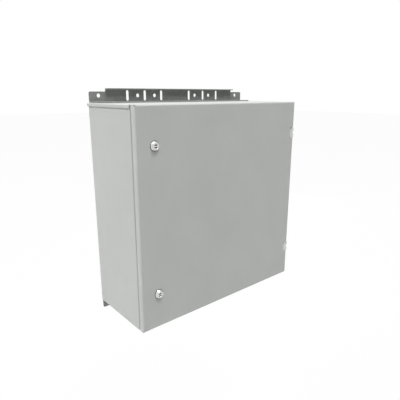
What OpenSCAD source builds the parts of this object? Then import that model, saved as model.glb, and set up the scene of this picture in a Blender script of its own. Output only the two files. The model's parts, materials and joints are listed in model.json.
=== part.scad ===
// Outdoor telecom cabinet for a wall or a pole: a folded steel body with a roof cap, a hinged
// door with two quarter turn locks, and a pair of mounting brackets on the roof and the floor.
// x runs to the hinge side, y to the wall, z up. The origin is the centre of the four wall
// holes, on the rear face of the brackets.

/* [Cabinet] */
// Outside width of the body
cabinet_w = 600; // [520:10:800]
// Height from the underside of the floor to the top of the roof
cabinet_h = 598; // [520:2:800]
// Depth of the body, from its rear wall to the rim at the front
body_d = 224; // [200:2:400]
// Thickness of the sheet in the body, roof and door
sheet = 1.5; // [1:0.25:2]
// Inside radius of the upright folds of the body
fold_r = 2.5; // [1:0.5:5]
// Width of the rim around the door opening
rim_w = 30; // [28:1:40]
// Corner radius of the door opening
opening_r = 12; // [8:1:30]
// How far the rain lip stands out in front of the rim
rain_lip_d = 10; // [6:0.5:12]

/* [Roof] */
// Height of the turned down sides of the roof
roof_lip_h = 8.5; // [4:0.5:20]
// Gap between a turned down side and the body
roof_gap = 1.5; // [0.3:0.1:2]
// Inside radius of the folds of the roof
roof_fold_r = 0.7; // [0.3:0.1:1.5]

/* [Door] */
// Distance from the rim to the front face of the door
door_d = 20; // [18:0.5:28]
// Gap between the rim and the edge of the door
door_gap = 3.5; // [2:0.5:5]
// Inside radius of the folds of the door
door_fold_r = 3; // [1.5:0.5:4.5]
// Radius of the relief hole in each corner of the door
relief_r = 2.4; // [1.5:0.1:3]
// Width of the door gasket
gasket_w = 10; // [6:1:12]
// Distance of a door rail from the middle of the door
rail_x = 150; // [80:5:160]
// Width of the raised part of a door rail
rail_w = 30; // [16:1:50]
// Depth of a door rail
rail_h = 12; // [8:1:20]
// Pitch of the holes along a door rail
rail_pitch = 25; // [15:1:50]

/* [Hinges] */
// Distance from the middle of a hinge to the end of the door
hinge_end = 99; // [80:1:140]
// Height of a hinge over its knuckles
hinge_h = 31; // [28:1:60]
// Diameter of the two outer knuckles
knuckle_d = 14; // [11:0.5:15]
// Diameter of the middle knuckle
mid_knuckle_d = 9; // [8:0.5:11]
// Height of the space for the middle knuckle
mid_knuckle_h = 10; // [8:0.5:16]
// Diameter of the hinge pin
pin_d = 5; // [3:0.5:6]
// Thickness of the hinge leaves
leaf_t = 3; // [2:0.5:4]
// Width of the notch that the hinge needs in the front of the door
notch_w = 18.5; // [17:0.5:20]

/* [Locks] */
// Distance from the axis of a lock to the end of the door
lock_end = 99; // [80:1:140]
// Distance from the axis of a lock to the edge of the door opening
lock_reach = 23; // [22:1:40]
// Diameter of the lock head on the door
lock_d = 25.5; // [22:0.5:32]
// Diameter of the flat face of the lock head
lock_face_d = 21; // [18:0.5:21]
// How far the lock head stands out from the door
lock_stand = 6; // [5:0.5:12]
// Diameter of the lock barrel
barrel_d = 18; // [17:0.5:20]
// How far the cam reaches behind the rim
cam_bite = 22; // [12:1:24]
// Width of the cam
cam_w = 16; // [12:1:20]
// Thickness of the cam
cam_t = 3; // [2:0.5:5]

/* [Brackets] */
// Thickness of the bracket sheet
bracket_sheet = 3; // [2:0.5:4]
// Height of a bracket above the roof
bracket_h = 40; // [36:1:60]
// How far a bracket stays inside the side of the cabinet
bracket_inset = 4.5; // [0:0.5:20]
// Depth of the foot that lies on the roof
foot_d = 45; // [36:1:60]
// Depth of the fold along the outer edge of a bracket
crown_d = 15; // [8:1:30]
// Width of the tab at each end of a bracket
tab_w = 50; // [44:1:60]
// How much lower a tab is than the bracket
tab_drop = 9; // [5:1:12]
// Diameter of the wall holes in the tabs
wall_hole_d = 11; // [7:0.5:13]
// Distance from a wall hole to the end of the bracket
wall_hole_inset = 28.5; // [16:0.5:36]
// Diameter of the pole clamp holes
pole_hole_d = 11; // [7:0.5:13]
// Distance from a band slot to the pole clamp hole beside it
pole_hole_step = 25; // [18:1:32]
// Width of a band slot
slot_w = 9; // [6:0.5:12]
// Distance from the middle of a bracket to the first band slot
slot_first = 55; // [30:1:70]
// Pitch of the band slots
slot_pitch = 60; // [50:1:66]
// Distance from the end of a band slot to the outer face of the bracket
slot_end = 5; // [4.5:0.5:8]

/* [Inside] */
// Margin around the mounting plate
plate_margin = 40; // [34:1:80]
// Thickness of the mounting plate
plate_t = 2.5; // [1.5:0.5:4]
// Distance of the mounting plate from the rear wall
plate_off = 25; // [15:1:40]
// Width of the gland plate
gland_w = 340; // [160:10:400]
// Depth of the gland plate
gland_d = 120; // [90:5:130]
// Width of the land around the gland opening
gland_land = 20; // [16:1:30]
// Thickness of the gland plate
gland_t = 2; // [1.5:0.5:4]

/* [Hidden] */
$fn = 64;

// Colours
paint = "#c3c6c2";
galvanised = "#7b807e";
zinc = "#c4c7c9";
bright_zinc = "#dcdddb";
rubber = "#2c2e30";

// Overrun of every cut, and the clearances of the fits
overrun = 1;
fit_gap = 0.05;
press_gap = 0.02;
knuckle_play = 0.25;
gasket_gap = 0.3;
leaf_gap = 1;
notch_play = 1.5;
cam_gap = 0.5;
cam_play = 0.3;
seal_play = 0.3;
hole_play = 0.5;

// Threads: diameter, width over flats, height of nut and head
m5_d = 5;
m5_af = 8;
m5_nut_h = 4;
m5_head_d = 9.5;
m5_head_h = 3;
m6_d = 6;
m6_af = 10;
m6_nut_h = 5;
m6_head_h = 4;
m8_d = 8;
m8_af = 13;
m8_nut_h = 6.5;
thread_show = 2.5;

// Planes of the body, the roof and the door
half_w = cabinet_w / 2;
half_h = cabinet_h / 2;
rear_y = -bracket_sheet;
back_y = rear_y - sheet;
rim_y = rear_y - body_d;
rim_back_y = rim_y + sheet;
lip_front_y = rim_y - rain_lip_d;
door_edge_y = rim_y - door_gap;
door_front_y = rim_y - door_d;
door_inner_y = door_front_y + sheet;
body_top_z = half_h - sheet;
floor_z = -half_h + sheet;
body_r = fold_r + sheet;
opening_w = cabinet_w - 2 * rim_w;
opening_h = cabinet_h - 2 * rim_w;
roof_w = cabinet_w + 2 * (roof_gap + sheet);
roof_r = roof_fold_r + sheet;

// Door
door_r = door_fold_r + sheet;
relief_in = door_r - (door_r - sheet / 2) * cos(45);
rail_foot = 10;
rail_end = 25;
rail_hole_d = 6.5;
rail_l = opening_h - 2 * rail_end;
rail_holes = floor((rail_l - rail_pitch) / rail_pitch) + 1;
gasket_mid_w = opening_w + sheet;
gasket_mid_h = opening_h + sheet;
gasket_r = opening_r + sheet / 2;
earth_inset = 50;
earth_stud_l = 25;

// Hinges
hinge_x = half_w;
hinge_y = (door_front_y + door_edge_y) / 2;
hinge_z = half_h - hinge_end;
frame_leaf_x = half_w - rim_w + sheet + leaf_gap;
frame_leaf_end_x = half_w - body_r;
hinge_screw_x = (frame_leaf_x + hinge_x - knuckle_d / 2) / 2;
hinge_screw_step = hinge_h / 2;
door_leaf_x = (gasket_mid_w + gasket_w) / 2 + leaf_gap;
door_leaf_end_x = half_w - door_r;
notch_h = hinge_h + 2 * notch_play;
notch_r = 2;
nose_gap = 2.5;
nose_r = notch_w - nose_gap;
leaf_end = 21;
leaf_h = notch_h + 2 * leaf_end;
hinge_stud_x = (door_leaf_x + door_leaf_end_x) / 2;
hinge_stud_step = notch_h + leaf_end;

// Locks
lock_x = -(opening_w / 2 - lock_reach);
lock_z = half_h - lock_end;
seal_t = 0.8;
lock_seal_over = 0.75;
lock_seal_y = door_front_y - seal_t;
lock_face_y = door_front_y - lock_stand;
lock_bevel = 3;
lock_nut_af = 23;
lock_nut_h = 4;
core_head_d = 14;
core_head_t = 4.6;
core_sink = 0.4;
core_d = 10;
core_square = 7;
core_face_y = lock_face_y + core_sink;
core_step_y = core_face_y + core_head_t;
bit_d = 9.6;
bit_bar = 3.2;
bit_depth = 4;
cam_y = rim_back_y + cam_gap;
cam_back_y = cam_y + cam_t;
cam_clamp = 0.2;
square_end_y = cam_back_y - cam_clamp;
barrel_end_y = cam_y - cam_play;
cam_l = lock_reach + cam_bite;
cam_hub_d = 20;
cam_thread_l = 12;
cam_washer_d = 13;
cam_washer_t = 1.5;

// Brackets
bracket_w = cabinet_w - 2 * bracket_inset;
bracket_fold_r = 1.5;
bracket_r = bracket_fold_r + bracket_sheet;
web_w = bracket_w - 2 * tab_w;
tab_h = bracket_h - tab_drop;
tab_r = 5;
hole_h = bracket_h / 2;
slot_l = bracket_h - 2 * slot_end;
slot_xs = [for (side = [-1, 1], i = [0 : 2]) side * (slot_first + i * slot_pitch)];
pole_hole_xs = [for (side = [-1, 1], i = [0 : 1]) side * (slot_first + pole_hole_step + i * slot_pitch)];
wall_hole_xs = [for (side = [-1, 1]) side * (bracket_w / 2 - wall_hole_inset)];
bracket_stud_inset = 63;
bracket_stud_reach = bracket_w / 2 - bracket_stud_inset;
bracket_stud_xs = [for (i = [-3 : 2 : 3]) bracket_stud_reach * i / 3];
bracket_stud_y = -(bracket_sheet + foot_d) / 2;
stud_head_d = 11;
stud_head_share = 0.4;
stud_head_t = bracket_sheet * stud_head_share;
seal_washer_d = 18;
seal_washer_t = 2;
nut_flange_d = 17;
nut_flange_t = 1.5;
m8_hole_d = m8_d + 2 * hole_play;

// Mounting plate and gland plate
plate_w = cabinet_w - 2 * plate_margin;
plate_h = cabinet_h - 2 * plate_margin;
plate_r = 8;
plate_hole_inset = 18;
plate_y = back_y - plate_off;
plate_front_y = plate_y - plate_t;
plate_thread_share = 0.4;
plate_thread_l = plate_off * plate_thread_share;
sink_share = 0.8;
sink_t = plate_t * sink_share;
sink_d = m6_d + 2 * sink_t;
gland_y = (rim_y - foot_d) / 2;
gland_r = 6;
gland_screw_inset = 8;
gland_seal_t = 2;
gland_top_z = -half_h - gland_seal_t;
gland_under_z = gland_top_z - gland_t;
m6_hole_d = m6_d + 2 * hole_play;
m5_hole_d = m5_d + 2 * hole_play;

// Width of a hexagon over its corners
function over_corners(flats) = flats / cos(180 / 6);

// Rectangle with round corners, about its centre
module rounded_rect(w, h, r) {
  square([w - 2 * r, h], center = true);
  square([w, h - 2 * r], center = true);
  for (sx = [-1, 1], sy = [-1, 1]) {
    translate([sx * (w / 2 - r), sy * (h / 2 - r)]) circle(r = r);
  }
}

// Upright slot with round ends, about its centre
module slot_plan(w, l) {
  square([w, l - w], center = true);
  for (side = [-1, 1]) {
    translate([0, side * (l - w) / 2]) circle(d = w);
  }
}

// A plan in y and z, drawn out along x
module along_x(from, to) {
  translate([from, 0, 0]) rotate([90, 0, 90]) linear_extrude(to - from) children();
}

// A plan in x and z, drawn out along y
module along_y(from, to) {
  translate([0, to, 0]) rotate([90, 0, 0]) linear_extrude(to - from) children();
}

// A plan in x and y, drawn out along z
module along_z(from, to) {
  translate([0, 0, from]) linear_extrude(to - from) children();
}

// Hexagon nut on its seat, growing along z
module hex_nut(flats, h, bore) {
  difference() {
    cylinder(h = h, d = over_corners(flats), $fn = 6);
    translate([0, 0, -overrun]) cylinder(h = h + 2 * overrun, d = bore);
  }
}

// Turns what grows along z to the front, or to the wall
module to_front() {
  rotate([90, 0, 0]) children();
}

module to_wall() {
  rotate([-90, 0, 0]) children();
}

// Copies for the upper and the lower hinge or lock
module at_both(z) {
  for (side = [-1, 1]) {
    translate([0, 0, side * z]) children();
  }
}

// Plan of the body, drawn in from its outside
module body_plan(inset) {
  translate([0, (rear_y + rim_y) / 2]) {
    rounded_rect(cabinet_w - 2 * inset, body_d - 2 * inset, body_r - inset);
  }
}

module opening_plan(grow) {
  rounded_rect(opening_w + 2 * grow, opening_h + 2 * grow, opening_r + grow);
}

module bracket_stud_plan(d) {
  for (x = bracket_stud_xs) {
    translate([x, bracket_stud_y]) circle(d = d);
  }
}

module gland_screw_plan(d) {
  reach_x = gland_w / 2 - gland_screw_inset;
  reach_y = gland_d / 2 - gland_screw_inset;
  for (sx = [-1 : 1], sy = [-1, 1]) {
    translate([sx * reach_x, gland_y + sy * reach_y]) circle(d = d);
  }
}

module gland_opening_plan() {
  translate([0, gland_y]) rounded_rect(gland_w - 2 * gland_land, gland_d - 2 * gland_land, gland_r);
}

module hinge_screw_plan(d) {
  for (side = [-1, 1]) {
    translate([hinge_screw_x, side * hinge_screw_step / 2]) circle(d = d);
  }
}

module body_shell() {
  color(paint) difference() {
    union() {
      difference() {
        along_z(-half_h, body_top_z) body_plan(0);
        along_z(floor_z, body_top_z - sheet) body_plan(sheet);
      }
      along_y(lip_front_y, rim_back_y) opening_plan(sheet);
    }
    along_y(lip_front_y - overrun, rim_back_y + overrun) opening_plan(0);
    along_z(body_top_z - sheet - overrun, body_top_z + overrun) bracket_stud_plan(m8_hole_d);
    along_z(-half_h - overrun, floor_z + overrun) {
      bracket_stud_plan(m8_hole_d);
      gland_opening_plan();
      gland_screw_plan(m6_hole_d);
    }
    at_both(hinge_z) along_y(rim_y - overrun, rim_back_y + overrun) hinge_screw_plan(m5_hole_d);
  }
}

module roof_cap() {
  color(paint) difference() {
    along_y(rim_y, rear_y) difference() {
      translate([0, half_h - roof_lip_h]) rounded_rect(roof_w, 2 * roof_lip_h, roof_r);
      translate([0, half_h - roof_lip_h]) {
        rounded_rect(roof_w - 2 * sheet, 2 * (roof_lip_h - sheet), roof_fold_r);
      }
      translate([-roof_w / 2, half_h - 3 * roof_lip_h]) square([roof_w, 2 * roof_lip_h]);
    }
    along_z(body_top_z - overrun, half_h + overrun) bracket_stud_plan(m8_hole_d);
  }
}

// Section of a bracket in y and z: a foot, an upright web and a fold along its outer edge
module bracket_section() {
  reach = foot_d + bracket_r;
  difference() {
    translate([-reach / 2, bracket_h / 2]) rounded_rect(reach, bracket_h, bracket_r);
    translate([-reach / 2, bracket_h / 2]) {
      rounded_rect(reach - 2 * bracket_sheet, bracket_h - 2 * bracket_sheet, bracket_fold_r);
    }
    translate([-reach - overrun, bracket_h / 2]) {
      square([reach + overrun - crown_d, bracket_h]);
    }
  }
}

// Outline of a bracket from the front: the web between its two lower tabs
module bracket_outline() {
  rounded_rect(bracket_w, 2 * tab_h, tab_r);
  translate([-web_w / 2, 0]) square([web_w, bracket_h]);
}

module bracket_holes() {
  for (x = wall_hole_xs) {
    translate([x, hole_h]) circle(d = wall_hole_d);
  }
  for (x = pole_hole_xs) {
    translate([x, hole_h]) circle(d = pole_hole_d);
  }
  for (x = slot_xs) {
    translate([x, hole_h]) slot_plan(slot_w, slot_l);
  }
}

// A bracket that stands on the plane z = 0
module bracket() {
  color(galvanised) difference() {
    intersection() {
      along_x(-bracket_w / 2, bracket_w / 2) bracket_section();
      along_y(-foot_d, 0) bracket_outline();
    }
    along_y(-bracket_sheet - overrun, overrun) bracket_holes();
    along_z(-overrun, bracket_sheet + overrun) bracket_stud_plan(m8_d);
    along_z(bracket_sheet - stud_head_t, bracket_sheet + overrun) bracket_stud_plan(stud_head_d);
  }
}

module upper_bracket() {
  translate([0, 0, half_h]) bracket();
}

module lower_bracket() {
  mirror([0, 0, 1]) translate([0, 0, half_h]) bracket();
}

// Places of the bracket studs on the inner face of the roof and of the floor, z pointing out.
// The roof is two sheets thick, the floor is one.
module at_bracket_studs() {
  for (side = [0, 1], x = bracket_stud_xs) {
    $skin = sheet * (2 - side);
    mirror([0, 0, side]) translate([x, bracket_stud_y, half_h - $skin]) children();
  }
}

module bracket_stud() {
  top = $skin + bracket_sheet;
  tail = seal_washer_t + m8_nut_h + thread_show;
  along_z(-tail, top - stud_head_t + press_gap) circle(d = m8_d - 2 * press_gap);
  along_z(top - stud_head_t, top) circle(d = stud_head_d - 2 * press_gap);
}

module bracket_studs() {
  color(zinc) at_bracket_studs() bracket_stud();
}

module bracket_seal_washers() {
  color(rubber) at_bracket_studs() along_z(-seal_washer_t, 0) difference() {
    circle(d = seal_washer_d);
    circle(d = m8_hole_d);
  }
}

module bracket_nuts() {
  color(zinc) at_bracket_studs() translate([0, 0, -seal_washer_t]) mirror([0, 0, 1]) {
    hex_nut(m8_af, m8_nut_h, m8_d + 2 * fit_gap);
    along_z(0, nut_flange_t) difference() {
      circle(d = nut_flange_d);
      circle(d = m8_d + 2 * fit_gap);
    }
  }
}

// Places of the mounting plate studs
module at_plate_studs(y) {
  for (sx = [-1, 1], sz = [-1, 1]) {
    x = sx * (plate_w / 2 - plate_hole_inset);
    z = sz * (plate_h / 2 - plate_hole_inset);
    translate([x, y, z]) children();
  }
}

// The plate is countersunk for its screws, so that equipment can lie flat on it
module mounting_plate() {
  color(zinc) difference() {
    along_y(plate_front_y, plate_y) rounded_rect(plate_w, plate_h, plate_r);
    at_plate_studs(0) along_y(plate_front_y - overrun, plate_y + overrun) circle(d = m6_hole_d);
    at_plate_studs(plate_front_y - overrun) to_wall() {
      cylinder(h = sink_t + overrun, d1 = sink_d + 2 * overrun, d2 = m6_d);
    }
  }
}

module plate_studs() {
  color(zinc) at_plate_studs(back_y) to_front() cylinder(h = plate_thread_l, d = m6_d);
}

module plate_spacers() {
  color(zinc) at_plate_studs(back_y) to_front() hex_nut(m6_af, plate_off, m6_d + 2 * fit_gap);
}

module plate_screws() {
  color(zinc) at_plate_studs(plate_front_y) to_wall() {
    cylinder(h = sink_t, d1 = sink_d - 2 * press_gap, d2 = m6_d - 2 * press_gap);
    cylinder(h = plate_t + plate_thread_l, d = m6_d - 2 * press_gap);
  }
}

module gland_plate() {
  color(paint) along_z(gland_under_z, gland_top_z) difference() {
    translate([0, gland_y]) rounded_rect(gland_w, gland_d, gland_r);
    gland_screw_plan(m6_hole_d);
  }
}

module gland_gasket() {
  color(rubber) along_z(gland_top_z, -half_h) difference() {
    translate([0, gland_y]) rounded_rect(gland_w, gland_d, gland_r);
    gland_opening_plan();
    gland_screw_plan(m6_hole_d);
  }
}

// Places of the gland plate screws
module at_gland_screws(z) {
  reach_x = gland_w / 2 - gland_screw_inset;
  reach_y = gland_d / 2 - gland_screw_inset;
  for (sx = [-1 : 1], sy = [-1, 1]) {
    translate([sx * reach_x, gland_y + sy * reach_y, z]) children();
  }
}

module gland_screws() {
  shank = gland_t + gland_seal_t + sheet + m6_nut_h + thread_show;
  color(zinc) at_gland_screws(gland_under_z) {
    cylinder(h = shank, d = m6_d);
    mirror([0, 0, 1]) cylinder(h = m6_head_h, d = over_corners(m6_af), $fn = 6);
  }
}

module gland_nuts() {
  color(zinc) at_gland_screws(floor_z) hex_nut(m6_af, m6_nut_h, m6_d + 2 * fit_gap);
}

// Earth stud of the body on its right wall, and that of the door on its inner face
module at_body_earth(x) {
  translate([x, (rear_y + rim_y) / 2, -half_h + earth_inset]) rotate([0, -90, 0]) children();
}

module body_earth_stud() {
  color(zinc) at_body_earth(half_w - sheet) cylinder(h = earth_stud_l, d = m8_d);
}

module body_earth_nut() {
  color(zinc) at_body_earth(half_w - sheet) hex_nut(m8_af, m8_nut_h, m8_d + 2 * fit_gap);
}

module at_door_earth() {
  x = opening_w / 2 - earth_inset;
  z = -opening_h / 2 + earth_inset;
  translate([x, door_inner_y, z]) to_wall() children();
}

module door_earth_stud() {
  color(zinc) at_door_earth() cylinder(h = earth_stud_l, d = m8_d);
}

module door_earth_nut() {
  color(zinc) at_door_earth() hex_nut(m8_af, m8_nut_h, m8_d + 2 * fit_gap);
}

// Plan of an outer knuckle about the pin, with its arm to the rim and a nose that fills the notch
// of the door. The nose is round about the pin, so the door swings past it.
module outer_knuckle_plan() {
  circle(d = knuckle_d);
  translate([-knuckle_d / 2, 0]) square([knuckle_d / 2, rim_y - hinge_y]);
  intersection() {
    circle(r = nose_r);
    translate([-nose_r, -knuckle_d / 2]) square([nose_r, knuckle_d / 2]);
  }
}

// Leaf of a hinge on the rim: a foot plate and the two outer knuckles
module frame_leaf() {
  color(zinc) difference() {
    union() {
      along_y(rim_y - leaf_t, rim_y) translate([frame_leaf_x, -hinge_h / 2]) {
        square([frame_leaf_end_x - frame_leaf_x, hinge_h]);
      }
      for (side = [0, 1]) {
        mirror([0, 0, side]) along_z(mid_knuckle_h / 2, hinge_h / 2) {
          translate([hinge_x, hinge_y]) outer_knuckle_plan();
        }
      }
    }
    along_z(-hinge_h / 2 - overrun, hinge_h / 2 + overrun) translate([hinge_x, hinge_y]) {
      circle(d = pin_d + 2 * fit_gap);
    }
    along_y(rim_y - leaf_t - overrun, rim_y + overrun) hinge_screw_plan(m5_hole_d);
  }
}

module upper_hinge_frame_leaf() {
  translate([0, 0, hinge_z]) frame_leaf();
}

module lower_hinge_frame_leaf() {
  translate([0, 0, -hinge_z]) frame_leaf();
}

module hinge_pin() {
  color(bright_zinc) along_z(-hinge_h / 2, hinge_h / 2) translate([hinge_x, hinge_y]) circle(d = pin_d);
}

module upper_hinge_pin() {
  translate([0, 0, hinge_z]) hinge_pin();
}

module lower_hinge_pin() {
  translate([0, 0, -hinge_z]) hinge_pin();
}

// Places of the frame leaf screws
module at_hinge_screws(y) {
  at_both(hinge_z) at_both(hinge_screw_step / 2) translate([hinge_screw_x, y, 0]) children();
}

module hinge_screws() {
  shank = leaf_t + sheet + m5_nut_h + thread_show;
  color(zinc) at_hinge_screws(rim_y - leaf_t) {
    to_wall() cylinder(h = shank, d = m5_d);
    to_front() cylinder(h = m5_head_h, d = m5_head_d);
  }
}

module hinge_screw_nuts() {
  color(zinc) at_hinge_screws(rim_back_y) to_wall() hex_nut(m5_af, m5_nut_h, m5_d + 2 * fit_gap);
}

// Notch for a hinge in the front and the side of the door
module notch_plan() {
  translate([half_w, 0]) rounded_rect(2 * notch_w, notch_h, notch_r);
}

// Leaf of a hinge on the door: a plate around the notch, an arm across it and the middle knuckle
module door_leaf() {
  color(zinc) difference() {
    union() {
      along_y(door_inner_y, door_inner_y + leaf_t) difference() {
        translate([door_leaf_x, -leaf_h / 2]) square([door_leaf_end_x - door_leaf_x, leaf_h]);
        notch_plan();
        for (side = [-1, 1]) {
          translate([hinge_stud_x, side * hinge_stud_step / 2]) circle(d = m5_hole_d);
        }
      }
      along_z(-mid_knuckle_h / 2 + knuckle_play, mid_knuckle_h / 2 - knuckle_play) {
        translate([door_leaf_x, door_inner_y]) square([hinge_x - door_leaf_x, leaf_t]);
        translate([hinge_x - mid_knuckle_d / 2, door_inner_y]) {
          square([mid_knuckle_d / 2, hinge_y - door_inner_y]);
        }
        translate([hinge_x, hinge_y]) circle(d = mid_knuckle_d);
      }
    }
    along_z(-mid_knuckle_h, mid_knuckle_h) translate([hinge_x, hinge_y]) {
      circle(d = pin_d + 2 * fit_gap);
    }
  }
}

module upper_hinge_door_leaf() {
  translate([0, 0, hinge_z]) door_leaf();
}

module lower_hinge_door_leaf() {
  translate([0, 0, -hinge_z]) door_leaf();
}

// Places of the studs that hold the door leaves
module at_hinge_studs(y) {
  at_both(hinge_z) at_both(hinge_stud_step / 2) translate([hinge_stud_x, y, 0]) children();
}

module hinge_studs() {
  stud_l = leaf_t + m5_nut_h + thread_show;
  color(zinc) at_hinge_studs(door_inner_y) to_wall() cylinder(h = stud_l, d = m5_d);
}

module hinge_stud_nuts() {
  color(zinc) at_hinge_studs(door_inner_y + leaf_t) to_wall() {
    hex_nut(m5_af, m5_nut_h, m5_d + 2 * fit_gap);
  }
}

// Pan of the door, drawn in from its outside and cut off at its open edge
module door_pan(inset, edge_y) {
  front_y = door_front_y + inset;
  depth = door_edge_y + door_r - front_y;
  middle_y = front_y + depth / 2;
  intersection() {
    along_z(-half_h + inset, half_h - inset) translate([0, middle_y]) {
      rounded_rect(cabinet_w - 2 * inset, depth, door_r - inset);
    }
    along_x(-half_w + inset, half_w - inset) translate([middle_y, 0]) {
      rounded_rect(depth, cabinet_h - 2 * inset, door_r - inset);
    }
    along_y(front_y, edge_y) square([cabinet_w, cabinet_h], center = true);
  }
}

module door_panel() {
  color(paint) difference() {
    door_pan(0, door_edge_y);
    door_pan(sheet, door_edge_y + overrun);
    at_both(hinge_z) along_y(door_front_y - overrun, door_edge_y + overrun) notch_plan();
    at_both(lock_z) along_y(door_front_y - overrun, door_inner_y + overrun) translate([lock_x, 0]) {
      circle(d = barrel_d + 2 * seal_play);
    }
    for (sx = [-1, 1], sz = [-1, 1]) {
      translate([sx * (half_w - relief_in), door_front_y + relief_in, sz * (half_h - relief_in)]) {
        sphere(r = relief_r);
      }
    }
  }
}

module door_gasket() {
  color(rubber) along_y(door_inner_y, lip_front_y - gasket_gap) difference() {
    rounded_rect(gasket_mid_w + gasket_w, gasket_mid_h + gasket_w, gasket_r + gasket_w / 2);
    rounded_rect(gasket_mid_w - gasket_w, gasket_mid_h - gasket_w, gasket_r - gasket_w / 2);
  }
}

// Perforated stiffening rail of hat section on the inner face of the door
module door_rail() {
  color(zinc) difference() {
    along_z(-rail_l / 2, rail_l / 2) translate([0, door_inner_y]) difference() {
      union() {
        translate([-rail_w / 2, 0]) square([rail_w, rail_h]);
        translate([-rail_w / 2 - rail_foot, 0]) square([rail_w + 2 * rail_foot, sheet]);
      }
      translate([-rail_w / 2 + sheet, -overrun]) square([rail_w - 2 * sheet, rail_h - sheet + overrun]);
    }
    along_y(door_inner_y + rail_h - sheet - overrun, door_inner_y + rail_h + overrun) {
      for (i = [0 : rail_holes - 1]) {
        translate([0, (i - (rail_holes - 1) / 2) * rail_pitch]) circle(d = rail_hole_d);
      }
    }
  }
}

module left_door_rail() {
  translate([-rail_x, 0, 0]) door_rail();
}

module right_door_rail() {
  translate([rail_x, 0, 0]) door_rail();
}

// Profile of a lock head, as radius and y
module lock_head_profile() {
  polygon([
    [0, lock_seal_y],
    [lock_d / 2, lock_seal_y],
    [lock_d / 2, lock_face_y + lock_bevel],
    [lock_face_d / 2, lock_face_y],
    [0, lock_face_y]
  ]);
}

// Housing of a lock on the axis x = z = 0
module lock_housing() {
  color(bright_zinc) difference() {
    union() {
      to_wall() rotate_extrude() lock_head_profile();
      along_y(lock_seal_y - overrun, barrel_end_y) circle(d = barrel_d);
    }
    along_y(lock_face_y - overrun, core_step_y) circle(d = core_head_d + 2 * fit_gap);
    along_y(core_step_y - overrun, barrel_end_y + overrun) circle(d = core_d + 2 * fit_gap);
  }
}

module lock_seal() {
  color(rubber) along_y(lock_seal_y, door_front_y) difference() {
    circle(d = lock_d + 2 * lock_seal_over);
    circle(d = barrel_d + 2 * seal_play);
  }
}

module lock_nut() {
  color(bright_zinc) translate([0, door_inner_y, 0]) to_wall() {
    hex_nut(lock_nut_af, lock_nut_h, barrel_d + 2 * fit_gap);
  }
}

// Turning core of a lock: a head with the double bit socket, a shaft and a square end
module lock_core() {
  color(bright_zinc) difference() {
    union() {
      along_y(core_face_y, core_step_y) circle(d = core_head_d);
      along_y(core_step_y - overrun, cam_y) circle(d = core_d);
      along_y(cam_y - overrun, square_end_y) square(core_square, center = true);
    }
    along_y(core_face_y - overrun, core_face_y + bit_depth) difference() {
      circle(d = bit_d);
      square([bit_d, bit_bar], center = true);
    }
    along_y(square_end_y - cam_thread_l, square_end_y + overrun) circle(d = m6_d);
  }
}

// Cam of a lock, hanging down in its open position
module lock_cam() {
  tip = cam_l - cam_w / 2;
  color(zinc) along_y(cam_y, cam_back_y) difference() {
    union() {
      circle(d = cam_hub_d);
      translate([-cam_w / 2, -tip]) square([cam_w, tip]);
      translate([0, -tip]) circle(d = cam_w);
    }
    square(core_square + 2 * fit_gap, center = true);
  }
}

module lock_screw() {
  shank_y = square_end_y - cam_thread_l + fit_gap;
  color(zinc) {
    along_y(shank_y, cam_back_y + cam_washer_t) circle(d = m6_d - 2 * press_gap);
    along_y(cam_back_y, cam_back_y + cam_washer_t) circle(d = cam_washer_d);
    translate([0, cam_back_y + cam_washer_t, 0]) to_wall() {
      cylinder(h = m6_head_h, d = over_corners(m6_af), $fn = 6);
    }
  }
}

// Places of the upper and the lower lock
module at_upper_lock() {
  translate([lock_x, 0, lock_z]) children();
}

module at_lower_lock() {
  translate([lock_x, 0, -lock_z]) children();
}

module upper_lock_housing() {
  at_upper_lock() lock_housing();
}

module lower_lock_housing() {
  at_lower_lock() lock_housing();
}

module upper_lock_seal() {
  at_upper_lock() lock_seal();
}

module lower_lock_seal() {
  at_lower_lock() lock_seal();
}

module upper_lock_nut() {
  at_upper_lock() lock_nut();
}

module lower_lock_nut() {
  at_lower_lock() lock_nut();
}

module upper_lock_core() {
  at_upper_lock() lock_core();
}

module lower_lock_core() {
  at_lower_lock() lock_core();
}

module upper_lock_cam() {
  at_upper_lock() lock_cam();
}

module lower_lock_cam() {
  at_lower_lock() lock_cam();
}

module upper_lock_screw() {
  at_upper_lock() lock_screw();
}

module lower_lock_screw() {
  at_lower_lock() lock_screw();
}

body_shell();
roof_cap();
upper_bracket();
lower_bracket();
bracket_studs();
bracket_seal_washers();
bracket_nuts();
mounting_plate();
plate_studs();
plate_spacers();
plate_screws();
gland_plate();
gland_gasket();
gland_screws();
gland_nuts();
body_earth_stud();
body_earth_nut();
upper_hinge_frame_leaf();
lower_hinge_frame_leaf();
upper_hinge_pin();
lower_hinge_pin();
hinge_screws();
hinge_screw_nuts();
door_panel();
door_gasket();
left_door_rail();
right_door_rail();
upper_hinge_door_leaf();
lower_hinge_door_leaf();
hinge_studs();
hinge_stud_nuts();
door_earth_stud();
door_earth_nut();
upper_lock_housing();
lower_lock_housing();
upper_lock_seal();
lower_lock_seal();
upper_lock_nut();
lower_lock_nut();
upper_lock_core();
lower_lock_core();
upper_lock_cam();
lower_lock_cam();
upper_lock_screw();
lower_lock_screw();
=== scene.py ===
"""Looks of the outdoor telecom cabinet: coated sheet steel, galvanised brackets, locks, hinges,
threaded fasteners, foam seals and a plain studio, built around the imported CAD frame."""

import json
import math
from functools import partial

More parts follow.
